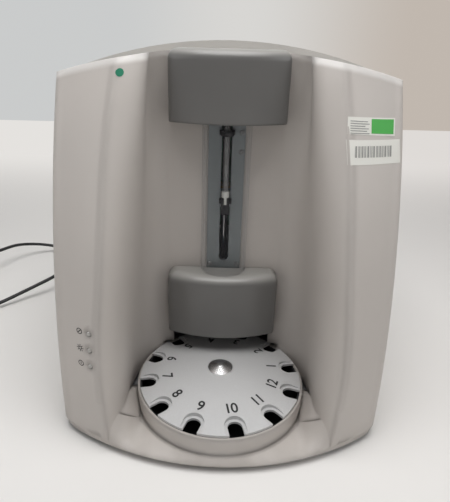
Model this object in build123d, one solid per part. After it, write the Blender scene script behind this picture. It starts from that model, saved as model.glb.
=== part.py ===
from build123d import *
import math
import os

os.makedirs("parts", exist_ok=True)

# Automated cell counter, millimetres, +Z up, +Y towards the rear.
# Origin: middle of the footprint, on the surface that the feet stand on.

# ---- driving dimensions -------------------------------------------------
half_width = 190.0           # casing, side to side
rear_y = 205.0               # tips of the reagent fittings
fitting_reach = 15.0         # from the rear cover's edge to the fittings' tips
foot_height = 9.0
foot_radius = 13.0
wall = 3.0                   # moulded front fascia
sheet = 2.5                  # folded rear cover and panels
gap = 0.3                    # seating clearance between separate pieces
run_gap = 0.05               # radial clearance of a shaft in its hole

front_plan_radius = 315.0    # plan curve of the front
corner_y = -144.0            # front corner at the base
corner_lean = 102.0          # how far the corner leans back at lean_height
lean_height = 400.0
lean_power = 2.2
corner_round = 14.0
front_arch_top = 430.0       # crown of the fascia
front_arch_radius = 659.0
rear_arch_top = 438.0        # crown of the rear cover
rear_arch_radius = 500.0
parting_y = 0.0              # joint between fascia and rear cover

valley_y = -26.0             # rear wall of the valley between the pillars
valley_half = 73.0
shoulder_y = -64.0
ledge_z = 17.0               # floor of the valley beside the drum
tip_x = 129.0                # foot of the crease where the cheek meets the front
tip_z = 62.0
ledge_x, ledge_y = 97.0, -144.0   # where the ledge's front edge meets the drum
flank_x = 152.0              # where the apron leaves the front surface
low_round = 22.0             # front corner at the very bottom
chin_step = 0.6              # the apron sits this far behind the pillars

disc_axis_y = -94.0
disc_radius = 102.0
disc_top = 44.0
disc_thick = 3.0
drum_radius = 105.0
dome_rise = 12.0             # the disc's crown above its rim
pad_radius = 72.0            # where the domed shell turns into the flat rim
drum_wall = 2.8
slots = 12
slot_width = 17.1
slot_depth = 20.0
slot_border = 3.7            # width of the sunk pad round a slot
first_slot_deg = -79.1       # angle of position 10
cup_circle = 92.0            # radius of the circle of cup centres
knob_radius = 15.6
knob_height = 6.0
led_x = -143.0               # row of three lights on the left pillar
led_heights = (148.0, 129.0, 110.0)

column_z = 164.0             # bottom of the probe's backplate
plate_half = 21.5
plate_thick = 3.0
plate_top = 392.0
probe_slot = 12.0            # width of the backplate's slot
probe_slot_z = 177.0
probe_slot_top = 372.0
shield_radius = 29.0
shield_wall = 2.0

cap_half = 66.5
cap_bottom = 354.0
cover_half = 71.0
cover_bottom = 80.0
cover_top = 166.0
hood_front_y = -64.0         # front of cap and lower cover at the middle
hood_sagitta = 17.0

stroke = 60.0                # probe travel
carriage_z = 243.0           # underside of the probe carriage
carriage_height = 21.0
needle_tip_z = 84.0
screw_lead = 8.0


def put(node, shape):
    """Write one sub-part under its own name."""
    shape.label = node
    export_step(shape, f"parts/{node}.step")


def box(x0, x1, y0, y1, z0, z1):
    """A block between two corners."""
    size = (x1 - x0, y1 - y0, z1 - z0)
    return Pos((x0 + x1) / 2, (y0 + y1) / 2, (z0 + z1) / 2) * Box(*size)


def rod(x, y, z0, z1, radius):
    """An upright cylinder."""
    return Pos(x, y, (z0 + z1) / 2) * Cylinder(radius, z1 - z0)


def tube(x, y, z0, z1, outer, inner):
    """An upright tube."""
    return rod(x, y, z0, z1, outer) - rod(x, y, z0 - 1, z1 + 1, inner)


def rod_y(x, z, y0, y1, radius):
    """A cylinder along Y."""
    return Pos(x, (y0 + y1) / 2, z) * Rot(90, 0, 0) * Cylinder(radius, y1 - y0)


def group(*shapes):
    """Several separate solids in one sub-part."""
    solids = [s for shape in shapes for s in shape.solids()]
    return Compound(solids)


# ---- front fascia -------------------------------------------------------
def corner_at(z):
    return corner_y + corner_lean * (max(z, 0) / lean_height) ** lean_power


def front_at(x, z):
    """Y of the front surface, a plan arc that leans back with height."""
    reach = math.sqrt(front_plan_radius**2 - x**2)
    at_corner = math.sqrt(front_plan_radius**2 - half_width**2)
    return corner_at(z) - (reach - at_corner)


def half_outline(z, inset):
    """Points of the right pillar's section: corner, crease, cheek, valley."""
    side = half_width - inset
    start = side - corner_round * 0.7
    crease_x = min(tip_x + 0.05 * (z - tip_z), 138.0 - 0.054 * z) + inset
    crease = (crease_x, front_at(crease_x, z) + inset)
    shoulder = (112.0 - 0.065 * z + inset, shoulder_y + inset)
    middle = (
        shoulder[0] + 0.2 * (crease[0] - shoulder[0]),
        crease[1] + 0.45 * (shoulder[1] - crease[1]),
    )
    return {
        "corner": (side, front_at(half_width, z) + inset),
        "side": (side, front_at(half_width, z) + inset + corner_round),
        "start": (start, front_at(start, z) + inset),
        "arc": ((start + crease[0]) / 2, front_at((start + crease[0]) / 2, z) + inset),
        "crease": crease,
        "middle": middle,
        "shoulder": shoulder,
        "valley": (valley_half + inset, valley_y + inset),
    }


def half_edges(p, back):
    """Edges of the right half, from the rear corner round to the valley wall."""
    return [
        Line((p["side"][0], back), p["side"]),
        Bezier(p["side"], p["corner"], p["start"]),
        ThreePointArc(p["start"], p["arc"], p["crease"]),
        Spline(p["crease"], p["middle"], p["shoulder"], p["valley"], tangents=[(-0.8, 0.6), (-1, 0.25)]),
    ]


def fascia_section(z, inset, back):
    """Closed plan section of both pillars and the valley between them."""
    p = half_outline(z, inset)
    right = half_edges(p, back)
    left = [e.mirror(Plane.YZ) for e in right]
    valley_x, wall_y = p["valley"]
    ends = [
        Line((valley_x, wall_y), (-valley_x, wall_y)),
        Line((-p["side"][0], back), (p["side"][0], back)),
    ]
    return Pos(0, 0, z) * make_face(right + left + ends)


def pillars(inset, back, bottom):
    """Both pillars and the valley's rear wall, from the base to above the roof."""
    return loft([fascia_section(z, inset, back) for z in (bottom, tip_z, 120, 200, 280, 360, 445)])


def under_arch(top, radius, y0, y1, half):
    """Everything below an arched roof."""
    drop = radius - math.sqrt(radius**2 - half**2)
    outline = make_face([
        Line((-half, 0), (half, 0)),
        Line((half, 0), (half, top - drop)),
        ThreePointArc((half, top - drop), (0, top), (-half, top - drop)),
        Line((-half, top - drop), (-half, 0)),
    ])
    return extrude(Plane.XZ.offset(-y0) * outline, y0 - y1)


def chin_face(inset, z, round_y, points):
    """Plan face of the chin: front corners, then the edges that join the points."""
    side = half_width - inset
    corner = front_at(half_width, 0) + inset
    start = (side - round_y * 0.7, front_at(side - round_y * 0.7, 0) + inset)
    right = [
        Line((side, parting_y), (side, corner + round_y)),
        Bezier((side, corner + round_y), (side, corner), start),
    ]
    (flank, flank_mid), (edge, edge_mid), front = points
    right.append(ThreePointArc(start, flank_mid, flank))
    right.append(ThreePointArc(flank, edge_mid, edge))
    left = [e.mirror(Plane.YZ) for e in right]
    ends = [
        ThreePointArc(edge, front, (-edge[0], edge[1])),
        Line((-side, parting_y), (side, parting_y)),
    ]
    return Pos(0, 0, z) * make_face(right + left + ends)


def chin(inset, bottom, top):
    """The apron under the carousel, from a wide arc up to the drum's foot."""
    inset += chin_step

    def on_front(x):
        return (x, front_at(x, 0) + inset)

    side = half_width - inset
    low = chin_face(inset, bottom, low_round, [
        (on_front(flank_x), on_front((side + flank_x) / 2 - low_round * 0.35)),
        (on_front(ledge_x), on_front((ledge_x + flank_x) / 2)),
        on_front(0),
    ])
    edge = (ledge_x + inset, ledge_y + inset)
    foot_y = disc_axis_y - math.hypot(ledge_x, ledge_y - disc_axis_y)
    high = chin_face(inset, top, corner_round, [
        (on_front(flank_x), on_front((side + flank_x) / 2 - corner_round * 0.35)),
        (edge, ((ledge_x + flank_x) / 2 + 4, ledge_y - 19 + inset)),
        (0, foot_y + inset),
    ])
    return loft([low, high], ruled=True)


def ledge_wedge(side):
    """The ledge that climbs from the drum's foot to the tip of the crease."""
    base = [(ledge_x, ledge_y), (102, -80), (130, -90), (140, -160), (flank_x - 4, front_at(flank_x - 4, 0) + 1)]
    face = Pos(0, 0, ledge_z - 0.5) * make_face(Polyline(*base, close=True))
    apex = Vertex(tip_x + 1, front_at(tip_x + 1, tip_z) + 0.5, tip_z)
    wedge = loft([face, apex], ruled=True)
    return wedge if side > 0 else wedge.mirror(Plane.YZ)


roof = (front_arch_top, front_arch_radius)
back_y = rear_y - fitting_reach   # rear face of the rear cover
base_top = foot_height + sheet
axis = Pos(0, disc_axis_y, 0)
disc_floor = disc_top - disc_thick
crown_z = disc_top + dome_rise - 0.3   # flat seat of the knob

shell = pillars(0, parting_y, ledge_z - 1) & under_arch(*roof, -260, 20, half_width + 5)
hollow = pillars(wall, parting_y + 5, foot_height - 1)
hollow &= under_arch(roof[0] - wall, roof[1], -260, 20, half_width + 5)
drum = tube(0, disc_axis_y, base_top + gap, disc_floor - gap, drum_radius, drum_radius - drum_wall)
deep_half = cover_half - 5        # width of the recess behind the lower cover
above_rim = disc_top + 4
well_space = rod(0, disc_axis_y, 0, above_rim, drum_radius - drum_wall)
disc_space = rod(0, disc_axis_y, disc_floor - gap, cover_bottom, disc_radius + 2.4)
disc_space -= [box(x - 100, x + 100, -200, 20, above_rim, cover_bottom + 1) for x in (-deep_half - 100, deep_half + 100)]
probe_window = box(-16, 16, valley_y - 1, valley_y + wall + 1, probe_slot_z - 8, probe_slot_top)
led_spots = [(led_x, z) for z in led_heights]
led_radius = 2.9


def led_hole(x, z, radius, depth):
    """A bore square to Y, sunk from the front surface."""
    face_y = front_at(x, z)
    return rod_y(x, z, face_y - 6, face_y + depth, radius)


outside = shell + chin(0, foot_height, ledge_z) + ledge_wedge(1) + ledge_wedge(-1)
fascia = outside - hollow - chin(wall, foot_height - 1, ledge_z - wall)
fascia -= box(-half_width + wall, half_width - wall, -100, parting_y + 1, 0, ledge_z + 1)
fascia = fascia - well_space + drum - disc_space - probe_window
for x, z in led_spots:
    fascia -= led_hole(x, z, led_radius + gap, 12)
put("front_fascia", fascia)

leds = []
for x, z in led_spots:
    face_y = front_at(x, z)
    lens = rod_y(x, z, face_y + 1.2, face_y + 9, led_radius)
    dome = Pos(x, face_y + 1.2, z) * Sphere(led_radius) & rod_y(x, z, face_y - 0.4, face_y + 3, led_radius)
    leds.append(lens + dome)
put("indicator_lenses", group(*leds))
led_back = front_at(led_spots[0][0], led_spots[0][1]) + 9
put("indicator_board", box(led_x - 9, led_x + 9, led_back + gap + 5, led_back + gap + 6.6, 100, 158)
    + [rod_y(x, z, front_at(x, z) + 9 + gap, led_back + gap + 5, 2.0) for x, z in led_spots])


# ---- casing -------------------------------------------------------------
def arch_profile(half, top, radius, bottom, corner):
    drop = radius - math.sqrt(radius**2 - half**2)
    outline = make_face([
        Line((-half, bottom), (half, bottom)),
        Line((half, bottom), (half, top - drop)),
        ThreePointArc((half, top - drop), (0, top), (-half, top - drop)),
        Line((-half, top - drop), (-half, bottom)),
    ])
    tops = outline.vertices().sort_by(Axis.Y)[-2:]
    return fillet(tops, corner)


def arch_prism(inset, y0, y1, bottom):
    half = half_width - 0.5 - inset
    face = arch_profile(half, rear_arch_top - inset, rear_arch_radius - inset, bottom, 14 - inset)
    return extrude(Plane.XZ.offset(-y0) * face, y0 - y1)


cover_front = parting_y + gap
rear_cover = arch_prism(0, cover_front, back_y, foot_height)
rear_cover -= arch_prism(sheet, cover_front + sheet, back_y + 1, foot_height - 5)
rear_cover -= arch_prism(13, cover_front - 1, cover_front + sheet + 1, foot_height - 5)
rear_cover -= box(-half_width + sheet, half_width - sheet, cover_front - 1, cover_front + sheet + 1,
                  0, base_top + gap)
put("rear_cover", rear_cover)

vent_rows = [box(x, x + 3, back_y - 5, back_y + 10, 240, 262) for x in range(-150, -85, 8)]
fan_x, fan_z, fan_half = 75.0, 300.0, 40.0
inlet_x, inlet_z = -120.0, 62.0
inlet_half, inlet_tall = 13.5, 10.0
switch_z = 104.0
port_x, port_z = -60.0, 62.0
fitting_x = [60.0, 84.0, 108.0, 132.0]
fitting_z = 70.0
panel_y = back_y
rear_panel = arch_prism(1, panel_y, panel_y + sheet, foot_height + 1)
rear_panel -= rod_y(fan_x, fan_z, panel_y - 1, panel_y + 5, fan_half - 3)
rear_panel -= box(inlet_x - inlet_half, inlet_x + inlet_half, panel_y - 1, panel_y + 5,
                  inlet_z - inlet_tall, inlet_z + inlet_tall)
rear_panel -= box(inlet_x - 6.5, inlet_x + 6.5, panel_y - 1, panel_y + 5, switch_z - 10.5, switch_z + 10.5)
rear_panel -= box(port_x - 7, port_x + 7, panel_y - 1, panel_y + 5, port_z - 6, port_z + 6)
for x in fitting_x:
    rear_panel -= rod_y(x, fitting_z, panel_y - 1, panel_y + 5, 5.0)
for slot in vent_rows:
    rear_panel -= slot
put("rear_panel", rear_panel)

pan_inset = wall + gap
pan_front = make_face([
    ThreePointArc((half_width - pan_inset, -112), (0, -176), (-half_width + pan_inset, -112)),
    Line((-half_width + pan_inset, -112), (-half_width + pan_inset, back_y - gap)),
    Line((-half_width + pan_inset, back_y - gap), (half_width - pan_inset, back_y - gap)),
    Line((half_width - pan_inset, back_y - gap), (half_width - pan_inset, -112)),
])
base_pan = extrude(Pos(0, 0, foot_height) * pan_front, sheet)
rim_z = base_top + 14
pan_side = half_width - pan_inset
base_pan += box(-pan_side, -pan_side + sheet, 14, back_y - 12, base_top - 1, rim_z)
base_pan += box(pan_side - sheet, pan_side, 14, back_y - 12, base_top - 1, rim_z)
put("base_pan", base_pan)

feet_at = [(-150, -118), (150, -118), (-150, 165), (150, 165)]
foot = extrude(Circle(foot_radius), foot_height - 2) + Pos(0, 0, foot_height - 2) * extrude(
    Circle(foot_radius - 1.5), 2)
foot -= Pos(0, 0, -1) * extrude(Circle(4.5), 4.5)
put("rubber_feet", group(*[Pos(x, y, 0) * foot for x, y in feet_at]))


# ---- grey hood over the probe -------------------------------------------
def hood(half, bottom, top, inset, round_top, round_side):
    """A bowed cover seated on the valley wall, open at the back and below."""
    back = valley_y - gap
    side_y = hood_front_y + hood_sagitta
    front = hood_front_y + inset
    outline = make_face([
        ThreePointArc((-half + inset, side_y + inset), (0, front), (half - inset, side_y + inset)),
        Line((half - inset, side_y + inset), (half - inset, back)),
        Line((half - inset, back), (-half + inset, back)),
        Line((-half + inset, back), (-half + inset, side_y + inset)),
    ])
    block = extrude(Pos(0, 0, bottom) * outline, top - inset - bottom)
    front_edges = block.edges().filter_by(Axis.Z).sort_by(Axis.Y)[:2]
    block = fillet(front_edges, round_side)
    top_face = block.faces().sort_by(Axis.Z)[-1]
    rim = [e for e in top_face.edges() if e.center().Y < back - 0.5]
    return fillet(rim, round_top)


def hollow_hood(half, bottom, top, thick, round_top, round_side):
    outer = hood(half, bottom, top, 0, round_top, round_side)
    inner = hood(half, bottom - 1, top, thick, round_top - thick, round_side - thick)
    return outer - inner - box(-half + thick, half - thick, valley_y - gap - 1, valley_y, bottom - 1, top - thick)


shield_y = valley_y - gap
shield = tube(0, shield_y, cover_top, plate_top, shield_radius, shield_radius - shield_wall)
shield = shield & box(-40, 40, shield_y - 40, shield_y, cover_top, plate_top)
put("clear_shield", shield)

cap = hollow_hood(cap_half, cap_bottom, front_arch_top, 2.5, 11, 9)
put("upper_cap", cap)
cover = hollow_hood(cover_half, cover_bottom, cover_top, 2.5, 13, 9)
put("lower_cover", cover)

plate_y = valley_y - gap - plate_thick
backplate = box(-plate_half, plate_half, plate_y, valley_y - gap, column_z + 2.5, plate_top)
backplate -= box(-probe_slot / 2, probe_slot / 2, plate_y - 1, valley_y, probe_slot_z + probe_slot / 2,
                 probe_slot_top)
backplate -= rod_y(0, probe_slot_z + probe_slot / 2, plate_y - 1, valley_y, probe_slot / 2)
for z in (318, 341):
    backplate -= rod_y(17.5, z, plate_y - 1, valley_y, 3.0)
put("probe_backplate", backplate)

# ---- probe lift ---------------------------------------------------------
rod_x, rod_yy, guide_radius = 24.0, 14.0, 3.0
screw_y, screw_radius = 14.0, 4.0
frame_y = 28.0               # front face of the chassis plate
needle_deg = first_slot_deg + 180.0
needle_x = cup_circle * math.cos(math.radians(needle_deg))
needle_y = disc_axis_y + cup_circle * math.sin(math.radians(needle_deg))
needle_radius = 1.2
tube_y = plate_y - 8.0
tube_radius = 3.5
carriage_top = carriage_z + carriage_height

carriage = box(-5.2, 5.2, tube_y - 2, -8, carriage_z, carriage_top)
carriage -= rod(0, tube_y, carriage_top - 8, carriage_top + 1, 2.6)
carriage += box(-7.5, 7.5, tube_y - 1, plate_y - gap, carriage_top - 7, carriage_top - 3)
carriage -= rod(0, tube_y, carriage_top - 8, carriage_top + 1, 2.6)
put("probe_carriage", carriage)
fitting = rod(0, tube_y, carriage_top - 8, carriage_top + 1.5, 2.6)
fitting += Pos(0, tube_y, carriage_top + 1) * extrude(RegularPolygon(4.6, 6), 7.5)
put("tube_fitting", fitting)
tube_foot = carriage_top + 8.5
sample_tube = tube(0, tube_y, tube_foot, cap_bottom + 68, tube_radius, tube_radius - 1.2)
put("sample_tube", sample_tube)

arm = box(-32, 32, -8, 22, carriage_z, carriage_top)
for x in (-rod_x, rod_x):
    arm -= rod(x, rod_yy, carriage_z - 1, carriage_top + 1, guide_radius + run_gap)
arm -= rod(0, screw_y, carriage_z - 1, carriage_top + 1, 7.0)
arm -= rod(needle_x, needle_y, carriage_z - 1, carriage_top + 1, needle_radius)
put("probe_arm", arm)
nut = tube(0, screw_y, carriage_z, carriage_top, 7.0, screw_radius + run_gap)
nut += tube(0, screw_y, carriage_top, carriage_top + 3, 11.0, screw_radius + run_gap)
put("lead_nut", nut)
put("probe_needle", tube(needle_x, needle_y, needle_tip_z, carriage_top + 6, needle_radius, 0.6))

top_plate_z, low_plate_z = 366.0, 150.0
for name, z in (("lift_top_bracket", top_plate_z), ("lift_bottom_bracket", low_plate_z)):
    bracket = box(-34, 34, 4, frame_y, z, z + 8)
    bracket += box(-34, 34, frame_y - 6, frame_y, z - 12, z + 8)
    for x in (-rod_x, rod_x):
        bracket -= rod(x, rod_yy, z - 20, z + 20, guide_radius)
    bracket -= rod(0, screw_y, z - 20, z + 20, 8.0)
    put(name, bracket)
put("guide_rods", group(*[rod(x, rod_yy, low_plate_z, top_plate_z + 8, guide_radius) for x in (-rod_x, rod_x)]))
put("screw_bearings", group(*[
    tube(0, screw_y, z, z + 8, 8.0, screw_radius + run_gap) for z in (low_plate_z, top_plate_z)]))
motor_z = top_plate_z + 8 + gap
screw = rod(0, screw_y, low_plate_z - 4, motor_z + 4, screw_radius)
put("lead_screw", screw)
lift_motor = box(-21, 21, screw_y - 21 - 7, screw_y + 14, motor_z + 5, motor_z + 42)
lift_motor += [box(x - 3, x + 3, y - 3, y + 3, motor_z - gap, motor_z + 5.5)
               for x in (-17.5, 17.5) for y in (8, 24)]
put("lift_motor", lift_motor)

guide_z = 341.0
guide = Pos(0, tube_y, guide_z) * (Cylinder(7.5, 5) - Cylinder(tube_radius + 0.4, 10))
guide += box(-9, 9, tube_y + 4.2, plate_y, guide_z - 2.5, guide_z + 2.5)
put("tube_guide", guide)

wash_z = 92.0
wash = Pos(needle_x, needle_y, wash_z) * (Cylinder(8, 14) - Cylinder(needle_radius + 0.4, 20))
wash += box(needle_x - 6, needle_x + 6, needle_y + 6.5, frame_y, wash_z - 5, wash_z + 5)
wash -= rod(needle_x, needle_y, 60, 130, needle_radius + 0.4)
put("wash_station", wash)

# ---- chassis ------------------------------------------------------------
chassis = box(-165, 165, frame_y, frame_y + sheet, base_top, 392)
chassis -= box(-12, 12, frame_y - 1, frame_y + 5, 190, 340)
chassis += box(-165, 165, frame_y, frame_y + 14, base_top, base_top + sheet)
chassis -= rod(0, disc_axis_y, 0, 60, disc_radius + 22)
put("chassis_plate", chassis)

# ---- carousel -----------------------------------------------------------
motor_height = 20.0
hub_radius = 14.0
shaft_radius = 2.5
motor_top = base_top + motor_height
carousel_motor = box(-21, 21, disc_axis_y - 21, disc_axis_y + 21, base_top, motor_top)
carousel_motor = fillet(carousel_motor.edges().filter_by(Axis.Z), 4)
carousel_motor += rod(0, disc_axis_y, motor_top, motor_top + 5, shaft_radius)
put("carousel_motor", carousel_motor)
hub_foot = motor_top + 1
hub_top = crown_z - disc_thick
hub = rod(0, disc_axis_y, hub_foot, hub_top, hub_radius)
hub -= rod(0, disc_axis_y, hub_foot - 1, hub_foot + 4.5, shaft_radius + run_gap)
hub -= rod(0, disc_axis_y, hub_top - 3, hub_top + 1, 2.0)
put("carousel_hub", hub)


def slot_cut(width, depth, z0, z1):
    """A U-shaped cut in from the disc's rim."""
    inner = disc_radius - depth + width / 2
    cut = rod(inner, 0, z0, z1, width / 2)
    return cut + box(inner, disc_radius + 5, -width / 2, width / 2, z0, z1)


dome_radius = (disc_radius**2 + dome_rise**2) / (2 * dome_rise)
dome_top = disc_top + dome_rise
dome = Pos(0, 0, dome_top - dome_radius) * Sphere(dome_radius)
disc = dome & rod(0, 0, disc_floor, crown_z, disc_radius)
disc -= (Pos(0, 0, -disc_thick) * dome) & rod(0, 0, disc_floor - 5, dome_top, pad_radius)
disc -= rod(0, 0, disc_floor - 1, dome_top + 1, 2.0)
through = slot_cut(slot_width, slot_depth, disc_floor - 1, disc_top + 1)
pad = slot_cut(slot_width + 2 * slot_border, slot_depth + slot_border, disc_top, dome_top)
for k in range(slots):
    disc -= Rot(0, 0, first_slot_deg + k * 360 / slots) * (through + pad)
put("carousel_disc", axis * disc)

knob_rim, knob_tip = 1.6, 3.0
cone_height = knob_height - knob_rim
knob = rod(0, 0, 0, knob_rim, knob_radius)
knob += Pos(0, 0, knob_rim + cone_height / 2) * Cone(knob_radius, knob_tip, cone_height)
knob = fillet(knob.edges().filter_by(GeomType.CIRCLE).sort_by(Axis.Z)[-1], 2.0)
knob += rod(0, 0, -3, 0.5, 1.95)
put("carousel_knob", Pos(0, disc_axis_y, crown_z) * knob)

tray_outer = drum_radius - drum_wall - gap
tray = rod(0, disc_axis_y, base_top, disc_floor - 2, tray_outer)
tray -= rod(0, disc_axis_y, base_top - 1, disc_floor, 44)
tray -= tube(0, disc_axis_y, base_top + 2, disc_floor, tray_outer - 2, 62)
tray -= tube(0, disc_axis_y, base_top + 2, disc_floor, 60, 46)
put("carousel_well", tray)

# ---- fluidics -----------------------------------------------------------
pump_x, pump_y = -120.0, 70.0
barrel_top, barrel_foot = 262.0, 176.0
barrel_radius, barrel_bore = 8.0, 5.5
pump_frame = box(pump_x - 30, pump_x + 30, pump_y + 12, pump_y + 18, base_top, 330)
pump_frame += box(pump_x - 30, pump_x + 30, pump_y + 12, pump_y + 40, base_top, base_top + 6)
pump_frame += box(pump_x - 13, pump_x + 13, pump_y - 10, pump_y + 12, barrel_foot - 8, barrel_foot)
pump_frame -= rod(pump_x, pump_y, barrel_foot - 20, barrel_foot + 1, barrel_bore)
barrel = tube(pump_x, pump_y, barrel_foot, barrel_top, barrel_radius, barrel_bore)
put("syringe_barrel", barrel)
plunger = rod(pump_x, pump_y, barrel_top - 14, barrel_top - 4, barrel_bore - run_gap)
plunger += rod(pump_x, pump_y, 116, barrel_top - 14, 2.4)
put("syringe_plunger", plunger)
drive_x = pump_x + 20
drive = box(pump_x - 12, drive_x + 8, pump_y - 8, pump_y + 8, 102, 116)
drive -= rod(drive_x, pump_y, 100, 120, 4.0 + run_gap)
put("plunger_carriage", drive)
put("plunger_screw", rod(drive_x, pump_y, 34, 140, 4.0))
pump_frame += box(drive_x - 8, drive_x + 8, pump_y - 8, pump_y + 12, 132, 144)
pump_frame -= rod(drive_x, pump_y, 120, 150, 4.0 + run_gap)
put("pump_frame", pump_frame)
pump_motor = box(drive_x - 18, drive_x + 18, pump_y - 24, pump_y + 11.7, base_top, 33)
put("pump_motor", pump_motor)

valve_z = barrel_top + 18
valve = Pos(pump_x, pump_y - 3, valve_z) * Rot(90, 0, 0) * Cylinder(17, 24)
valve += box(pump_x - 12, pump_x + 12, pump_y - 10, pump_y + 9, barrel_top, valve_z)
for k in range(6):
    port = Pos(pump_x, pump_y - 18, valve_z) * Rot(0, 60 * k, 0) * Pos(0, 0, 10.5)
    valve += port * Rot(90, 0, 0) * Cylinder(3, 8)
valve += box(pump_x - 10, pump_x + 10, pump_y + 9, pump_y + 12, valve_z - 10, valve_z + 10)
put("selector_valve", valve)
put("valve_motor", rod_y(pump_x, valve_z, pump_y + 18, pump_y + 50, 16))

# ---- optics -------------------------------------------------------------
bench_z, bench_x = 120.0, 118.0
optic_z = bench_z + 26
bench = box(bench_x - 52, bench_x + 52, 50, 178, bench_z - 3, bench_z)
bench += [box(x - 1.5, x + 1.5, 50, 178, base_top, bench_z - 2) for x in (bench_x - 50.5, bench_x + 50.5)]
put("optics_bench", bench)
camera = box(bench_x - 15, bench_x + 15, 140, 176, bench_z, optic_z + 15)
put("camera", camera)
lens = rod_y(bench_x, optic_z, 112, 140, 11) + rod_y(bench_x, optic_z, 98, 112, 8)
put("lens_tube", lens)
cell = box(bench_x - 14, bench_x + 14, 86, 92, bench_z, optic_z + 14)
cell -= rod_y(bench_x, optic_z, 80, 95, 5)
put("flow_cell", cell)
lamp = rod_y(bench_x, optic_z, 60, 82, 9) + box(bench_x - 7, bench_x + 7, 60, 80, bench_z, optic_z)
put("light_source", lamp)

# ---- electronics --------------------------------------------------------
supply = box(bench_x - 46, bench_x + 42, 60, 180, base_top, base_top + 40)
supply -= [box(bench_x - 30, bench_x + 30, y, y + 3, base_top + 36, base_top + 45) for y in range(75, 170, 9)]
put("power_supply", supply)
board_y = frame_y + sheet + 8
board = box(-85, 60, board_y, board_y + 1.6, 200, 350)
for x, z in ((-80, 205), (55, 205), (-80, 345), (55, 345)):
    board += rod_y(x, z, frame_y + sheet, board_y, 3)
board += box(-60, -30, board_y + 1.6, board_y + 5, 290, 320)
board += box(0, 20, board_y + 1.6, board_y + 4, 250, 270)
board += box(-70, 40, board_y + 1.6, board_y + 10, 206, 214)
board += [rod_y(-75 + 14 * k, 235, board_y + 1.6, board_y + 14, 5) for k in range(4)]
put("main_board", board)

fan_depth = 25.0
fan_y = panel_y - fan_depth
fan_frame = box(fan_x - fan_half, fan_x + fan_half, fan_y, panel_y, fan_z - fan_half, fan_z + fan_half)
fan_frame = fillet(fan_frame.edges().filter_by(Axis.Y), 4)
fan_frame -= rod_y(fan_x, fan_z, fan_y - 1, panel_y + 1, fan_half - 2)
fan_frame += rod_y(fan_x, fan_z, fan_y, fan_y + 4, 17)
fan_frame += [Pos(fan_x, fan_y + 2, fan_z) * Rot(0, a, 0) * Pos(0, 0, 27) * Box(4, 4, 24) for a in (45, 135, 225, 315)]
fan_frame -= rod_y(fan_x, fan_z, fan_y - 1, fan_y + 5, 2 + run_gap)
put("fan_frame", fan_frame)
hub_y = fan_y + 5
fan_rotor = rod_y(fan_x, fan_z, hub_y, panel_y - 3, 16) + rod_y(fan_x, fan_z, fan_y + 0.5, hub_y, 2)
blade = Pos(0, 0, 25) * Rot(0, 0, 38) * Box(20, 1.8, 22)
for k in range(7):
    fan_rotor += Pos(fan_x, (hub_y + panel_y - 3) / 2, fan_z) * Rot(0, k * 360 / 7, 0) * blade
put("fan_rotor", fan_rotor)
guard_y = panel_y + sheet
guard = rod(0, 0, 0, 2, 9)
for radius in (18, 27, 36):
    guard += tube(0, 0, 0, 2, radius + 0.9, radius - 0.9)
for turn in (45, 135):
    guard += Rot(0, 0, turn) * box(-54, 54, -1, 1, 0, 2)
put("fan_guard", Pos(fan_x, guard_y, fan_z) * Rot(-90, 0, 0) * guard)

inlet = box(inlet_x - inlet_half + gap, inlet_x + inlet_half - gap, panel_y - 22, panel_y + sheet,
            inlet_z - inlet_tall + gap, inlet_z + inlet_tall - gap)
inlet += box(inlet_x - 21, inlet_x + 21, panel_y + sheet, panel_y + sheet + 2.5, inlet_z - 14, inlet_z + 14)
socket = box(inlet_x - 12, inlet_x + 12, panel_y - 17, panel_y + 10, inlet_z - 7.7, inlet_z + 7.7)
inlet -= fillet(socket.edges().filter_by(Axis.Y).sort_by(Axis.Z)[-2:], 4)
inlet += [box(inlet_x + dx - 1, inlet_x + dx + 1, panel_y - 18, panel_y - 1, inlet_z + dz - 2, inlet_z + dz + 2)
          for dx, dz in ((-7, -1.5), (0, 2), (7, -1.5))]
put("power_inlet", inlet)
rocker_y = panel_y + sheet
bezel = box(inlet_x - 6.2, inlet_x + 6.2, panel_y - 18, rocker_y, switch_z - 10.2, switch_z + 10.2)
bezel += box(inlet_x - 8, inlet_x + 8, rocker_y, rocker_y + 1.5, switch_z - 12, switch_z + 12)
bezel -= box(inlet_x - 5.2, inlet_x + 5.2, panel_y - 12, rocker_y + 4, switch_z - 9.3, switch_z + 9.3)
put("switch_body", bezel)
pivot_y = rocker_y - 4
rocker_half = 8.6
rocker_face = make_face(Polyline(
    (pivot_y - 2.5, -rocker_half), (pivot_y + 6.6, -rocker_half), (pivot_y + 4.4, 0),
    (pivot_y + 5.2, rocker_half), (pivot_y - 2.5, rocker_half), close=True))
rocker = Pos(inlet_x, 0, switch_z) * extrude(Plane.YZ.offset(-4.9) * rocker_face, 9.8)
rocker = rocker & (Pos(inlet_x, pivot_y, switch_z) * Rot(0, 90, 0) * Cylinder(rocker_half + 0.4, 20))
put("power_rocker", rocker)

port = box(port_x - 6.7, port_x + 6.7, panel_y - 14, rocker_y, port_z - 5.7, port_z + 5.7)
port += box(port_x - 9, port_x + 9, rocker_y, rocker_y + 1, port_z - 8, port_z + 8)
port -= box(port_x - 5.5, port_x + 5.5, panel_y - 9, rocker_y + 3, port_z - 4.5, port_z + 4.5)
port += box(port_x - 3, port_x + 3, panel_y - 10, rocker_y - 1, port_z - 1.6, port_z + 1.6)
put("data_port", port)

fittings = []
for x in fitting_x:
    body = rod_y(x, fitting_z, panel_y - 9, rocker_y, 4.8) + rod_y(x, fitting_z, rocker_y, rocker_y + 2.5, 7)
    body += rod_y(x, fitting_z, rocker_y + 2.5, rear_y, 2.6)
    body -= rod_y(x, fitting_z, panel_y - 12, rear_y + 2, 1.4)
    fittings.append(body)
put("reagent_fittings", group(*fittings))

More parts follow.
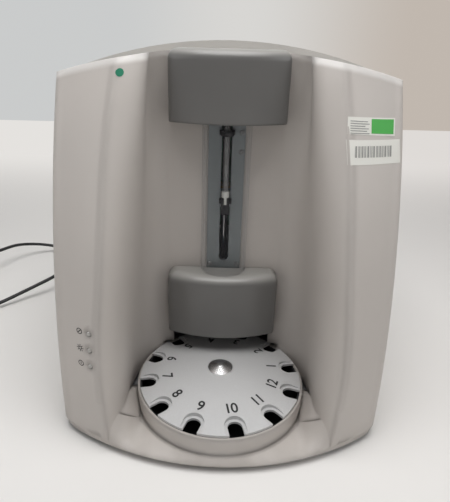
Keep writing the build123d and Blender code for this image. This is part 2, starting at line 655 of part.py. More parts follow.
screws = []
for x, z in ((-176, 40), (176, 40), (-176, 330), (176, 330), (0, 40), (0, 400)):
    head = rod_y(x, z, rocker_y, rocker_y + 2, 3.6)
    screws.append(head - box(x - 3, x + 3, rocker_y + 1, rocker_y + 3, z - 0.5, z + 0.5))
put("panel_screws", group(*screws))

# ---- mains cord ---------------------------------------------------------
cord = 6.2
cord_radius = cord / 2
connector = box(inlet_x - 11.4, inlet_x + 11.4, panel_y - 10, panel_y + 34, inlet_z - 7.1, inlet_z + 7.1)
body_tops = connector.edges().filter_by(Axis.Y).sort_by(Axis.Z)[-2:]
connector = fillet(body_tops, 3.9)
for side in (-7, 0, 7):
    dz = 2 if side == 0 else -1.5
    connector -= box(inlet_x + side - 1.6, inlet_x + side + 1.6, panel_y - 11, panel_y - 0.5,
                     inlet_z + dz - 2.6, inlet_z + dz + 2.6)
boot_y = panel_y + 34
boot = Pos(inlet_x, boot_y, inlet_z) * Rot(-90, 0, 0) * Pos(0, 0, 11) * Cone(6.5, 4.2, 22)
connector += boot
exit_y = boot_y + 22
connector -= rod_y(inlet_x, inlet_z, exit_y - 4, exit_y + 1, cord_radius)
put("mains_connector", connector)

coil_x, coil_y = 60.0, 318.0
coil_radius = 37.0
turn_step = cord + 0.2
outer_turn = coil_radius + turn_step / 2
upper_layer = cord_radius + 5.6
join_y = coil_y + outer_turn
leave_y = coil_y + coil_radius
plug_at = (139.0, 296.0, 10.2)
plug_turn = -62.0            # heading of the plug's blades from +X
floor_z = cord_radius + 0.1

run_route = [
    (inlet_x, exit_y - 4, inlet_z), (inlet_x, 284, inlet_z), (-138, 330, 59), (-185, 352, 52),
    (-232, 328, 46), (-263, 286, 41), (-283, 240, 35), (-308, 195, 29), (-345, 163, 19), (-386, 124, 9),
    (-424, 93, 5), (-470, 84, 5), (-502, 115, 11), (-509, 165, 22), (-494, 215, 34), (-465, 248, 39),
    (-444, 282, 40), (-428, 325, 34), (-388, 360, 20), (-338, 366, 8), (-286, 352, 4),
    (-232, 352, floor_z), (-176, 366, floor_z), (-120, 371, floor_z), (-66, 364, floor_z),
    (-20, join_y + 1, floor_z), (25, join_y, floor_z), (coil_x, join_y - 0.5, floor_z),
]
tail_route = [
    (coil_x, leave_y, upper_layer), (88, leave_y + 1, upper_layer), (112, 343, 9), (122, 328, plug_at[2]),
    plug_at,
]


def corner_radii(points):
    """The largest tangent arc that the two runs at each corner allow."""
    found = []
    for before, here, after in zip(points, points[1:], points[2:]):
        first, second = here - before, after - here
        turn = math.radians(first.get_angle(second))
        found.append(0.45 * min(first.length, second.length) / math.tan(turn / 2))
    return found


def cord_along(name, places):
    """A round cord of straight runs joined by tangent arcs."""
    points = [Vector(*p) for p in places]
    radii = corner_radii(points)
    path = FilletPolyline(*points, radius=radii)
    section = Plane(origin=path @ 0, z_dir=path % 0) * Circle(cord_radius)
    solid = sweep(section, path=path)
    expected = path.length * math.pi * cord_radius**2
    print(name, "length", round(path.length), "volume ratio", round(solid.volume / expected, 4))
    print(name, "radii", [round(r) for r in radii])
    put(name, solid)


cord_along("mains_cord_run", run_route)
cord_along("mains_cord_tail", tail_route)
coil_ring = tube(coil_x, coil_y, 0.1, upper_layer + cord_radius, outer_turn + cord_radius,
                 outer_turn - turn_step - cord_radius)
put("mains_cord_coil", fillet(coil_ring.edges().filter_by(GeomType.CIRCLE), 2.5))

plug_body = box(0, 34, -12.5, 12.5, -10, 10)
plug_body = fillet(plug_body.edges().filter_by(Axis.X), 5)
plug_body += Pos(-7, 0, 0) * Rot(0, 90, 0) * Cone(4.4, 7.5, 14)
plug_body -= Pos(-14, 0, 0) * Rot(0, 90, 0) * Cylinder(cord_radius, 8)
plug_body += [box(33, 50, y - 0.75, y + 0.75, -1, 5.3) for y in (-6.35, 6.35)]
plug_body += Pos(43.5, 0, -6) * Rot(0, 90, 0) * Cylinder(2.4, 21)
put("mains_plug", Pos(*plug_at) * Rot(0, 0, plug_turn) * Pos(10, 0, 0) * plug_body)
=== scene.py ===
import math
import bmesh
import bpy
from mathutils import Matrix, Vector
from mathutils.bvhtree import BVHTree


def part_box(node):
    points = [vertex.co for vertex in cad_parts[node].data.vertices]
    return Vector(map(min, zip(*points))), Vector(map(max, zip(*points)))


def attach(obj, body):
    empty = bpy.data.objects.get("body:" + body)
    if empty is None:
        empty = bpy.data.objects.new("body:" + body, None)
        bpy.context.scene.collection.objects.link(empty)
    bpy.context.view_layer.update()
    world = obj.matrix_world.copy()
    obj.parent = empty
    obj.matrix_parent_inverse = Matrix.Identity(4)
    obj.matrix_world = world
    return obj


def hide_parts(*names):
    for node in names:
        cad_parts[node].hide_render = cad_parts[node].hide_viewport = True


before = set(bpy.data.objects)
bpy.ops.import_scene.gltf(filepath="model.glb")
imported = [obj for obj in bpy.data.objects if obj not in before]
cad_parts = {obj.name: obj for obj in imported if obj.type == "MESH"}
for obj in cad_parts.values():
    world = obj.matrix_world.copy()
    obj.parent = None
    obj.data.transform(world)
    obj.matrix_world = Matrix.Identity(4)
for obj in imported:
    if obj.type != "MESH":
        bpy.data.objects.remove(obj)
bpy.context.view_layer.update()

MM = 0.001


# ---- front fascia -------------------------------------------------------
# One large injection moulding in warm ivory ABS: two leaning pillars, the
# valley between them, the ring round the carousel and the forward lip. Its
# skin is finely spark-eroded; a paler band along the roof's front edge is a painted highlight, and the skin
# is painted darker in patches towards the bottom.
class Wire:
    """A socket of one material; arithmetic on it adds Math nodes, node() adds any other."""

    def __init__(self, tree, socket=None):
        self.tree = tree
        self.socket = socket

    def node(self, kind, settings=None, inputs=None, out=0):
        made = self.tree.nodes.new(kind)
        for name, value in (settings or {}).items():
            setattr(made, name, value)
        for name, value in (inputs or {}).items():
            if isinstance(value, Wire):
                self.tree.links.new(value.socket, made.inputs[name])
            else:
                made.inputs[name].default_value = value
        return Wire(self.tree, made.outputs[out])

    def maths(self, operation, *values):
        return self.node("ShaderNodeMath", {"operation": operation}, dict(enumerate(values)))

    def __add__(self, other):
        return self.maths("ADD", self, other)

    def __sub__(self, other):
        return self.maths("SUBTRACT", self, other)

    def __rsub__(self, other):
        return self.maths("SUBTRACT", other, self)

    def __mul__(self, other):
        return self.maths("MULTIPLY", self, other)

    __radd__ = __add__
    __rmul__ = __mul__

    def rise(self, low, high):
        """0 below low, 1 above high, smooth between; falls if low is the larger."""
        return self.node("ShaderNodeMapRange", {"interpolation_type": "SMOOTHSTEP"},
                         {"Value": self, "From Min": low, "From Max": high})

    def tint(self, low, high):
        """The colour low where this is 0 and high where it is 1."""
        ends = [c if isinstance(c, Wire) else (*c, 1) for c in (low, high)]
        return self.node("ShaderNodeMix", {"data_type": "RGBA"}, {0: self, 6: ends[0], 7: ends[1]}, 2)


class Finish:
    """One material being built: its shader and the place on the object in metres."""

    def __init__(self, name, **fixed):
        self.material = bpy.data.materials.new(name)
        self.material.use_nodes = True
        self.tree = self.material.node_tree
        self.shader = self.tree.nodes["Principled BSDF"]
        for socket, value in fixed.items():
            self.shader.inputs[socket.replace("_", " ")].default_value = value
        self.place = Wire(self.tree).node("ShaderNodeTexCoord", out=3)
        self.x, self.y, self.z = (self.place.node("ShaderNodeSeparateXYZ", {}, {0: self.place}, axis)
                                  for axis in range(3))

    def noise(self, scale, detail=2.0, stretch=(1, 1, 1), rough=0.5):
        """Cloudy noise from 0 to 1, scale features to the metre, squeezed along the stretch."""
        spot = self.place.node("ShaderNodeVectorMath", {"operation": "MULTIPLY"},
                               {0: self.place, 1: stretch})
        return self.place.node("ShaderNodeTexNoise", {},
                               {"Vector": spot, "Scale": scale, "Detail": detail, "Roughness": rough})

    def feed(self, socket, wire):
        self.tree.links.new(wire.socket, self.shader.inputs[socket])

    def join(self, colour, roughness, height=None, depth=0.0001, round_edges=0.0):
        """Feeds the shader and returns the finished material; round_edges softens moulded edges."""
        if height is not None:
            relief = {"Height": height, "Distance": depth, "Strength": 1.0}
            if round_edges:
                relief["Normal"] = height.node("ShaderNodeBevel", {"samples": 6}, {"Radius": round_edges})
            bump = height.node("ShaderNodeBump", {}, relief)
            self.feed("Normal", bump)
        self.feed("Base Color", colour)
        self.feed("Roughness", roughness)
        return self.material


def add_piece(name, mesh, material, body):
    """Puts a mesh in the scene as a piece of its own that rides on a body."""
    mesh.materials.append(material)
    made = bpy.data.objects.new(name, mesh)
    bpy.context.scene.collection.objects.link(made)
    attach(made, body)


def dress(material, *nodes):
    """Gives CAD nodes this material in every slot."""
    for node in nodes:
        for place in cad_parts[node].material_slots:
            place.material = material


ivory, highlight_ivory, low_brown = (0.50, 0.462, 0.430), (0.76, 0.73, 0.70), (0.30, 0.27, 0.24)
fascia_skin = Finish("ivory_plastic", Specular_IOR_Level=0.45)
fascia_drift = fascia_skin.noise(7, 3)
fascia_grain = fascia_skin.noise(900, 2, rough=0.6)
roof_crown, roof_arch = 0.430, 0.759
below_roof = roof_crown - fascia_skin.x * fascia_skin.x * roof_arch - fascia_skin.z
# A paler band along the roof's front edge is a painted highlight of the bright rim, not wear; it also lowers
# roughness there.
painted_rim_highlight = below_roof.rise(0.009, 0.003) * fascia_skin.y.rise(-0.03, -0.05)
# Darker brown in patches towards the bottom, within about 35 mm of the bench.
low_darkening = fascia_skin.z.rise(0.035, 0.009) * fascia_skin.noise(28, 5).rise(0.35, 0.75) * 0.4
fascia_tone = fascia_drift.rise(0.3, 0.7).tint(tuple(0.95 * c for c in ivory), ivory)
fascia_tone = painted_rim_highlight.tint(fascia_tone, highlight_ivory)
fascia_tone = low_darkening.tint(fascia_tone, low_brown)
fascia_shine = fascia_drift * 0.1 + fascia_grain * 0.05 + 0.42 - painted_rim_highlight * 0.12
fascia_plastic = fascia_skin.join(fascia_tone, fascia_shine, fascia_grain, 0.00006, round_edges=0.013)
dress(fascia_plastic, "front_fascia")

# The apron's own skin: below the tip of each crease the pillar's front sweeps
# inwards to the drum's foot, and its lower edge is rolled under.
plan_radius, plan_corner, half_width = 315.0, -144.0, 190.0
tip_x, tip_z = 129.5, 62.3
foot_x, foot_z, foot_radius, drum_y = 97.0, 17.0, 109.14, -94.0
skin_end, skin_foot, skin_stand = 157.0, 9.6, 1.25
lean, lean_height, lean_power = 102.0, 400.0, 2.2


def front_skin(x, z=0.0):
    """How far forward the casing's front lies at a distance from its middle."""
    bow = math.sqrt(plan_radius ** 2 - x ** 2) - math.sqrt(plan_radius ** 2 - half_width ** 2)
    return plan_corner + lean * (max(z, 0) / lean_height) ** lean_power - bow


def apron_column(x):
    """The lowest and highest points of the skin at one distance, and how proud it stands."""
    low = (x, front_skin(x) + 0.5, skin_foot)
    if x >= tip_x:
        high = (x, front_skin(x, tip_z + 2), tip_z + 2)
        return low, high, skin_stand * ((skin_end - x) / (skin_end - tip_x)) ** 2
    if x >= foot_x:
        u = (tip_x - x) / (tip_x - foot_x)
        start = front_skin(tip_x, tip_z)
        height = tip_z + u * (foot_z - tip_z) - 3.0 * math.sin(math.pi * u)
        return low, (x, start + u * (plan_corner - start), height), skin_stand * (1 - u) ** 2 + 0.1
    return low, (x, drum_y - math.sqrt(foot_radius ** 2 - x ** 2), foot_z), 0.1


apron_points, apron_faces = [], []
places = [skin_end - (skin_end - tip_x) * k / 9 for k in range(9)]
places += [tip_x - (tip_x - foot_x) * k / 16 for k in range(16)] + [foot_x * (1 - k / 20) for k in range(21)]
places += [-x for x in reversed(places[:-1])]
steps = 14
for x in places:
    low, high, stand = apron_column(abs(x))
    apron_points.append((x * MM, (low[1] + 2.0) * MM, 9.0 * MM))
    apron_points.append((x * MM, (low[1] + 0.7) * MM, 9.1 * MM))
    for j in range(steps + 1):
        v = j / steps
        y = low[1] + v * (high[1] - low[1]) - 0.05 - stand * math.sin(math.pi * v) ** 0.4
        apron_points.append((x * MM, y * MM, (low[2] + v * (high[2] - low[2])) * MM))
rows = steps + 3
for i in range(len(places) - 1):
    for j in range(rows - 1):
        a = i * rows + j
        apron_faces.append((a, a + 1, a + rows + 1, a + rows))
apron_mesh = bpy.data.meshes.new("apron_skin")
apron_mesh.from_pydata(apron_points, [], apron_faces)
apron_mesh.polygons.foreach_set("use_smooth", [True] * len(apron_faces))
add_piece("apron_skin", apron_mesh, fascia_plastic, "casing")


# ---- indicator lights ---------------------------------------------------
# Three clear plastic light pipes pressed through the left pillar, with a small
# green circuit board behind them that carries the lamps.
pipe = Finish("clear_light_pipe", Specular_IOR_Level=0.6, Coat_Weight=0.5)
pipe_haze = pipe.noise(400, 3)
lens_plastic = pipe.join(pipe_haze.tint((0.30, 0.29, 0.27), (0.42, 0.41, 0.38)), pipe_haze * 0.1 + 0.12)
dress(lens_plastic, "indicator_lenses")

mask = Finish("green_circuit_board", Specular_IOR_Level=0.5, Coat_Weight=0.3)
upright_tracks = mask.noise(140, 1, (1, 0.1, 4)).rise(0.47, 0.50)
level_tracks = mask.noise(90, 1, (4, 0.1, 1)).rise(0.53, 0.5)
tracks = upright_tracks * level_tracks
pads = mask.place.node("ShaderNodeTexVoronoi", {"feature": "F1"}, {"Vector": mask.place, "Scale": 260.0})
solder = pads.rise(0.16, 0.12)
board_tone = solder.tint(tracks.tint((0.012, 0.09, 0.035), (0.02, 0.16, 0.07)), (0.55, 0.54, 0.50))
green_board = mask.join(board_tone, 0.42 - solder * 0.15, tracks + solder, 0.00005)
dress(green_board, "indicator_board", "main_board")


# ---- marks beside the lights --------------------------------------------
# Three small printed signs, one beside each light: a struck circle, a lamp
# with rays, and a circle with a bar. Black ink on the moulded skin.
fascia_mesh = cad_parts["front_fascia"].data
fascia_tree = BVHTree.FromPolygons([v.co.copy() for v in fascia_mesh.vertices],
                                   [tuple(p.vertices) for p in fascia_mesh.polygons])


def on_fascia(x, z, lift):
    """The point of the casing straight behind x and z, in millimetres, lifted off it."""
    place, out, _, _ = fascia_tree.ray_cast(Vector((x * MM, -0.4, z * MM)), Vector((0, 1, 0)))
    return place + out * lift if out.y < 0 else place - out * lift


def sheet_piece(name, points, faces, finish, body):
    """A thin printed piece with its own material, riding on a body."""
    mesh = bpy.data.meshes.new(name)
    mesh.from_pydata(points, [], faces)
    add_piece(name, mesh, finish, body)


def laid(corners, steps_x, steps_z, lift, points, faces):
    """Adds a four-cornered patch that follows the casing's skin."""
    first = len(points)
    (ax, az), (bx, bz), (cx, cz), (dx, dz) = corners
    for j in range(steps_z + 1):
        v = j / steps_z
        for i in range(steps_x + 1):
            u = i / steps_x
            x = (1 - v) * ((1 - u) * ax + u * bx) + v * ((1 - u) * dx + u * cx)
            z = (1 - v) * ((1 - u) * az + u * bz) + v * ((1 - u) * dz + u * cz)
            points.append(on_fascia(x, z, lift))
    row = steps_x + 1
    for j in range(steps_z):
        for i in range(steps_x):
            a = first + j * row + i
            faces.append((a, a + 1, a + row + 1, a + row))


def stroke(x0, z0, x1, z1, width, points, faces, lift=0.00012):
    """Adds one straight inked line."""
    run = Vector((x1 - x0, z1 - z0))
    side = Vector((-run.y, run.x)).normalized() * width / 2
    corners = [(x0 - side.x, z0 - side.y), (x1 - side.x, z1 - side.y),
               (x1 + side.x, z1 + side.y), (x0 + side.x, z0 + side.y)]
    laid(corners, max(1, round(run.length / 1.5)), 1, lift, points, faces)


def ring(x, z, radius, width, points, faces, parts=20):
    """Adds an inked circle made of short lines."""
    for k in range(parts):
        a, b = (math.tau * t / parts for t in (k, k + 1))
        stroke(x + radius * math.cos(a), z + radius * math.sin(a),
               x + radius * math.cos(b), z + radius * math.sin(b), width, points, faces)


ink = Finish("black_ink", Specular_IOR_Level=0.3)
ink_wear = ink.noise(1500, 3)
black_ink = ink.join(ink_wear.tint((0.012, 0.012, 0.013), (0.03, 0.03, 0.03)), ink_wear * 0.2 + 0.5)
sign_points, sign_faces = [], []
sign_x, struck_z, lamp_z, barred_z, pen = -154.8, 147.9, 128.2, 109.8, 0.9
ring(sign_x, struck_z, 3.1, pen, sign_points, sign_faces)
stroke(sign_x - 2.3, struck_z - 2.3, sign_x + 2.3, struck_z + 2.3, pen, sign_points, sign_faces)
ring(sign_x, lamp_z, 1.8, pen, sign_points, sign_faces, 12)
for ray in range(8):
    ray_x, ray_z = math.cos(math.tau * ray / 8), math.sin(math.tau * ray / 8)
    stroke(sign_x + 2.6 * ray_x, lamp_z + 2.6 * ray_z, sign_x + 4.3 * ray_x, lamp_z + 4.3 * ray_z, 0.8,
           sign_points, sign_faces)
ring(sign_x, barred_z, 3.0, pen, sign_points, sign_faces)
stroke(sign_x, barred_z - 1.4, sign_x, barred_z + 1.6, pen, sign_points, sign_faces)
sheet_piece("light_signs", sign_points, sign_faces, black_ink, "casing")


# ---- stickers on the pillars --------------------------------------------
# A small round green sticker high on the left, and two plain paper labels on
# the right, one with ruled lines and a green block and one with plain bars.
# Nothing is written on them.
def sticker(name, pale, dark):
    paper = Finish(name, Specular_IOR_Level=0.4)
    fibre = paper.noise(1200, 4)
    return paper.join(fibre.tint(dark, pale), fibre * 0.15 + 0.5, fibre, 0.00002)


green_paper = sticker("green_sticker", (0.008, 0.20, 0.11), (0.005, 0.17, 0.09))
bright_paper = sticker("green_label_paper", (0.075, 0.40, 0.08), (0.06, 0.34, 0.065))
white_paper = sticker("white_label", (0.72, 0.71, 0.66), (0.66, 0.65, 0.60))
grey_print = sticker("grey_print", (0.30, 0.30, 0.28), (0.24, 0.24, 0.23))
paper_lift, print_lift, dot_lift = 0.0002, 0.00035, 0.0004
dot_x, dot_z, dot_radius, dot_parts = -110.8, 406.1, 3.9, 24
dot_points = [on_fascia(dot_x, dot_z, dot_lift)]
for part in (0.25, 0.5, 0.75, 1.0):
    for k in range(dot_parts):
        angle = math.tau * k / dot_parts
        dot_points.append(on_fascia(dot_x + part * dot_radius * math.cos(angle),
                                    dot_z + part * dot_radius * math.sin(angle), dot_lift))
dot_faces = [(0, 1 + k, 1 + (k + 1) % dot_parts) for k in range(dot_parts)]
for inner in (1, 1 + dot_parts, 1 + 2 * dot_parts):
    outer = inner + dot_parts
    dot_faces += [(inner + k, outer + k, outer + (k + 1) % dot_parts, inner + (k + 1) % dot_parts)
                  for k in range(dot_parts)]
sheet_piece("green_dot", dot_points, dot_faces, green_paper, "casing")

label_points, label_faces = [], []
upper_label = [(118.1, 355.7), (174.8, 350.1), (175.1, 367.3), (118.2, 371.4)]
lower_label = [(119.5, 327.2), (183.2, 323.6), (181.9, 346.5), (117.2, 350.4)]
laid(upper_label, 18, 6, paper_lift, label_points, label_faces)
laid(lower_label, 20, 8, paper_lift, label_points, label_faces)
sheet_piece("plain_labels", label_points, label_faces, white_paper, "casing")

block_points, block_faces = [], []
green_area = [(145.3, 354.6), (173.0, 352.0), (173.3, 366.0), (145.3, 368.0)]
laid(green_area, 9, 5, print_lift, block_points, block_faces)
sheet_piece("green_block", block_points, block_faces, bright_paper, "casing")

line_points, line_faces = [], []
bars_left, bars_foot, bars_tall, bars_fall = 127.0, 333.6, 10.5, 0.062
bar_x = bars_left
for count in range(26):
    bar_wide = (0.55, 1.0, 0.7, 1.5)[(count * 7) % 4]
    base = bars_foot - bars_fall * (bar_x - bars_left)
    stroke(bar_x, base, bar_x, base + bars_tall, bar_wide, line_points, line_faces, print_lift)
    bar_x += bar_wide + (0.7, 1.1, 0.6)[count % 3]
rows_left, rows_top, row_step, rows_fall = 121, 367.4, 2.2, 0.085
for row, end in enumerate((141, 143, 138, 142, 140, 143)):
    height = rows_top - row_step * row
    stroke(rows_left, height, end, height - rows_fall * (end - rows_left), 0.8,
           line_points, line_faces, print_lift)
sheet_piece("ruled_lines", line_points, line_faces, grey_print, "casing")


# ---- rear cover and rear panel ------------------------------------------
# A folded steel cover, powder coated to match the front, and a flat steel
# panel screwed into its back edge.
def powder_coat(name, pale, dark, rough=0.48):
    coat = Finish(name, Specular_IOR_Level=0.5)
    peel = coat.noise(420, 2, rough=0.7)
    drift = coat.noise(5, 3)
    dust = coat.noise(18, 6).rise(0.55, 0.8) * 0.25
    tone = dust.tint(drift.rise(0.3, 0.7).tint(dark, pale), tuple(0.8 * c for c in dark))
    return coat.join(tone, peel * 0.12 + dust * 0.3 + rough, peel, 0.00008)


cover_paint = powder_coat("cover_paint", (0.56, 0.545, 0.515), (0.53, 0.515, 0.485))
panel_paint = powder_coat("panel_paint", (0.47, 0.465, 0.45), (0.44, 0.435, 0.42), 0.52)
dress(cover_paint, "rear_cover")
dress(panel_paint, "rear_panel")


# ---- base pan and feet --------------------------------------------------
# A zinc-plated steel pan closes the casing from below, on four black rubber
# feet with a screw recess in each.
zinc = Finish("zinc_plate", Metallic=1.0)
spangle = zinc.place.node("ShaderNodeTexVoronoi", {"feature": "F1"}, {"Vector": zinc.place, "Scale": 90.0})
zinc_plate = zinc.join(spangle.tint((0.50, 0.50, 0.50), (0.64, 0.64, 0.65)), spangle * 0.25 + 0.3)
dress(zinc_plate, "base_pan", "chassis_plate", "power_supply")

soft = Finish("foot_rubber", Specular_IOR_Level=0.25)
rubber_bloom = soft.noise(60, 5)
foot_rubber = soft.join(rubber_bloom.tint((0.012, 0.012, 0.012), (0.035, 0.034, 0.033)),
                        rubber_bloom * 0.2 + 0.65, soft.noise(1400, 2), 0.00005)
dress(foot_rubber, "rubber_feet")


# ---- grey hoods ---------------------------------------------------------
# Two bowed covers in grey ABS, snapped over the ends of the probe's column,
# with a finely textured skin; their upward-facing tops are painted much lighter, a painted highlight.
hood_skin = Finish("hood_grey", Specular_IOR_Level=0.5)
hood_drift = hood_skin.noise(7, 3)
hood_grain = hood_skin.noise(1100, 2, rough=0.6)
facing = hood_skin.place.node("ShaderNodeNewGeometry", {}, {}, 1)
# Faces turned upwards are painted much lighter: a painted highlight from the ceiling light.
painted_top_light = facing.node("ShaderNodeSeparateXYZ", {}, {0: facing}, 2).rise(0.25, 0.95)
hood_tone = hood_drift.rise(0.3, 0.7).tint((0.132, 0.128, 0.122), (0.146, 0.142, 0.136))
hood_tone = painted_top_light.tint(hood_tone, (0.33, 0.32, 0.30))
hood_grey = hood_skin.join(hood_tone, hood_drift * 0.08 + hood_grain * 0.05 + 0.24, hood_grain, 0.00003,
                           round_edges=0.004)
dress(hood_grey, "upper_cap", "lower_cover")


# ---- clear shield -------------------------------------------------------
# Half a tube of clear acrylic in front of the probe. Its cut edges and its
# steep sides are painted paler and more opaque than its middle, a painted reflection.
clear = Finish("clear_acrylic", Specular_IOR_Level=0.55)
steep = clear.place.node("ShaderNodeLayerWeight", {}, {"Blend": 0.45}, 1)
wiping = clear.noise(60, 4, (1, 1, 0.2)).rise(0.5, 0.8)
# Steep and edge-on faces are painted pale: a painted reflection.
clear_acrylic = clear.join(steep.tint((0.10, 0.10, 0.11), (0.80, 0.82, 0.83)), wiping * 0.06 + 0.06)
clear.feed("Alpha", steep * steep * steep * 0.6 + wiping * 0.02 + 0.04)
dress(clear_acrylic, "clear_shield")


# ---- probe column -------------------------------------------------------
# A slotted backplate in blue-grey anodised metal, a black moulded carriage in
# the slot, and a natural nylon fitting that holds the flexible sample tube.
def moulded(name, pale, dark, grain=900.0, depth=0.00006, rough=(0.42, 0.52)):
    """Textured plastic: fine grain and a slow drift of tone."""
    skin = Finish(name, Specular_IOR_Level=0.5)
    drift = skin.noise(7, 3)
    fine = skin.noise(grain, 2, rough=0.6)
    tone = drift.rise(0.3, 0.7).tint(dark, pale)
    shine = drift * (rough[1] - rough[0]) + fine * 0.05 + rough[0]
    return skin.join(tone, shine, fine, depth)


anodised = Finish("anodised_plate", Metallic=0.6, Specular_IOR_Level=0.5)
plate_lines = anodised.noise(500, 3, (14, 1, 1))
plate_clouds = anodised.noise(15, 3)
anodised_plate = anodised.join(plate_clouds.tint((0.17, 0.185, 0.19), (0.22, 0.24, 0.245)),
                               plate_lines * 0.12 + 0.38, plate_lines, 0.00002)
dress(anodised_plate, "probe_backplate")
black_plastic = moulded("black_plastic", (0.014, 0.014, 0.015), (0.009, 0.009, 0.010), rough=(0.58, 0.70))
dress(black_plastic, "probe_carriage", "tube_guide")


def translucent(name, pale, dark, alpha, rough):
    """A cloudy see-through plastic or glass."""
    cast = Finish(name, Specular_IOR_Level=0.5)
    cloud = cast.noise(80, 3)
    cast.feed("Alpha", cloud * 0.12 + alpha)
    return cast.join(cloud.tint(dark, pale), cloud * 0.1 + rough)


nylon = translucent("natural_nylon", (0.78, 0.78, 0.74), (0.66, 0.66, 0.62), 0.72, 0.28)
tube_vinyl = translucent("vinyl_tube", (0.42, 0.42, 0.42), (0.30, 0.30, 0.30), 0.20, 0.12)
dress(nylon, "tube_fitting")
dress(tube_vinyl, "sample_tube")


def brushed(name, pale, dark, along=(1, 12, 12), rough=(0.28, 0.42), scale=260, smudge=0.15):
    """Bare metal with fine lines along one direction and faint finger marks."""
    metal = Finish(name, Metallic=1.0)
    lines = metal.noise(scale, 3, along)
    marks = metal.noise(22, 4).rise(0.55, 0.8) * smudge
    tone = lines.tint(dark, pale)
    return metal.join(tone, lines * (rough[1] - rough[0]) + marks + rough[0], lines, 0.00003)


screw_steel = brushed("screw_steel", (0.30, 0.30, 0.30), (0.16, 0.16, 0.16), rough=(0.3, 0.45), scale=900)


def screw_head(name, x, z, face_y, radius=3.3, parts=20):
    """A low round head with a dished middle, standing out from face_y towards the front."""
    form = bmesh.new()
    rings = [(radius, 0.0), (radius, 0.5), (0.86 * radius, 1.0), (0.45 * radius, 1.3)]
    turns = [(math.cos(math.tau * k / parts), math.sin(math.tau * k / parts)) for k in range(parts)]
    loops = [[form.verts.new(((x + r * c) * MM, (face_y - h) * MM, (z + r * s) * MM)) for c, s in turns]
             for r, h in rings]
    for inner, outer in zip(loops, loops[1:]):
        for k in range(parts):
            form.faces.new((inner[k], inner[(k + 1) % parts], outer[(k + 1) % parts], outer[k]))
    middle = form.verts.new((x * MM, (face_y - 0.7) * MM, z * MM))
    for k in range(parts):
        form.faces.new((loops[-1][k], loops[-1][(k + 1) % parts], middle))
    mesh = bpy.data.meshes.new(name)
    form.to_mesh(mesh)
    form.free()
    add_piece(name, mesh, screw_steel, "casing")


plate_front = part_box("probe_backplate")[0][1] / MM
screw_places = [(17.5, 318), (17.5, 341), (-17.5, 382), (17.5, 382), (-17.5, 172), (17.5, 172)]
for count, (screw_x, screw_z) in enumerate(screw_places, 1):
    screw_head(f"plate_screw_{count}", screw_x, screw_z, plate_front)


# ---- probe lift ---------------------------------------------------------
# A machined aluminium arm on two ground guide rods, driven by a lead screw
# and a brass nut from a small stepper motor above.
aluminium = brushed("milled_aluminium", (0.66, 0.66, 0.67), (0.52, 0.52, 0.53))
dress(aluminium, "probe_arm", "lift_top_bracket", "lift_bottom_bracket", "carousel_hub", "pump_frame",
      "plunger_carriage", "optics_bench", "light_source")
ground_steel = brushed("ground_steel", (0.72, 0.72, 0.73), (0.60, 0.60, 0.61), (3, 3, 0.4), (0.12, 0.22),
                       500, 0.05)
dress(ground_steel, "guide_rods", "lead_screw", "plunger_screw", "probe_needle", "fan_guard")
brass = brushed("turned_brass", (0.72, 0.52, 0.24), (0.58, 0.40, 0.17), (1, 1, 14), (0.2, 0.35), 400)
dress(brass, "lead_nut")
bearing_steel = brushed("bearing_steel", (0.50, 0.50, 0.50), (0.40, 0.40, 0.40), (1, 1, 10), (0.25, 0.35),
                        500)
dress(bearing_steel, "screw_bearings", "data_port")

can = Finish("motor_enamel", Metallic=0.2, Specular_IOR_Level=0.5)
leaves_per_metre = 1400.0
stack = can.z * leaves_per_metre
leaves = stack.maths("FRACT", stack).rise(0.15, 0.4)
can_wear = can.noise(70, 4)
motor_enamel = can.join(can_wear.tint((0.02, 0.02, 0.021), (0.05, 0.05, 0.052)), can_wear * 0.2 + 0.35,
                        leaves)
dress(motor_enamel, "lift_motor", "pump_motor", "valve_motor", "carousel_motor", "camera", "lens_tube")


# ---- carousel -----------------------------------------------------------
# A shallow domed disc, painted in fine silver grey, with twelve open slots for
# sample cups and a turned aluminium knob. It turns in a black moulded well.
flake = Finish("silver_grey_paint", Specular_IOR_Level=0.5)
sparkle = flake.noise(2600, 1).rise(0.5, 0.75)
disc_drift = flake.noise(12, 3)
disc_tone = sparkle.tint(disc_drift.tint((0.46, 0.455, 0.452), (0.50, 0.495, 0.49)), (0.60, 0.60, 0.60))
disc_paint = flake.join(disc_tone, disc_drift * 0.1 + 0.36, sparkle, 0.00002)
dress(disc_paint, "carousel_disc")

axis_y = -94.0
turned = Finish("turned_aluminium", Metallic=1.0)
along_y = turned.y - axis_y * MM
grooves_per_metre = 3200.0
reach_squared = turned.x * turned.x + along_y * along_y
groove = reach_squared.maths("SQRT", reach_squared) * grooves_per_metre
rings_cut = groove.maths("FRACT", groove).rise(0.2, 0.8)
lathe_haze = turned.noise(300, 3)
turned_aluminium = turned.join(lathe_haze.tint((0.80, 0.79, 0.79), (0.93, 0.92, 0.92)),
                               rings_cut * 0.06 + 0.22, rings_cut, 0.000004)
dress(turned_aluminium, "carousel_knob")
dress(black_plastic, "carousel_well")

rim_z, crown_rise, disc_reach = 44.0, 12.0, 102.0
dome_radius = (disc_reach ** 2 + crown_rise ** 2) / (2 * crown_rise)


def dome_height(x, y):
    """The height of the disc's domed top at a place measured from its axis."""
    return rim_z + crown_rise - dome_radius + math.sqrt(dome_radius ** 2 - x ** 2 - y ** 2)


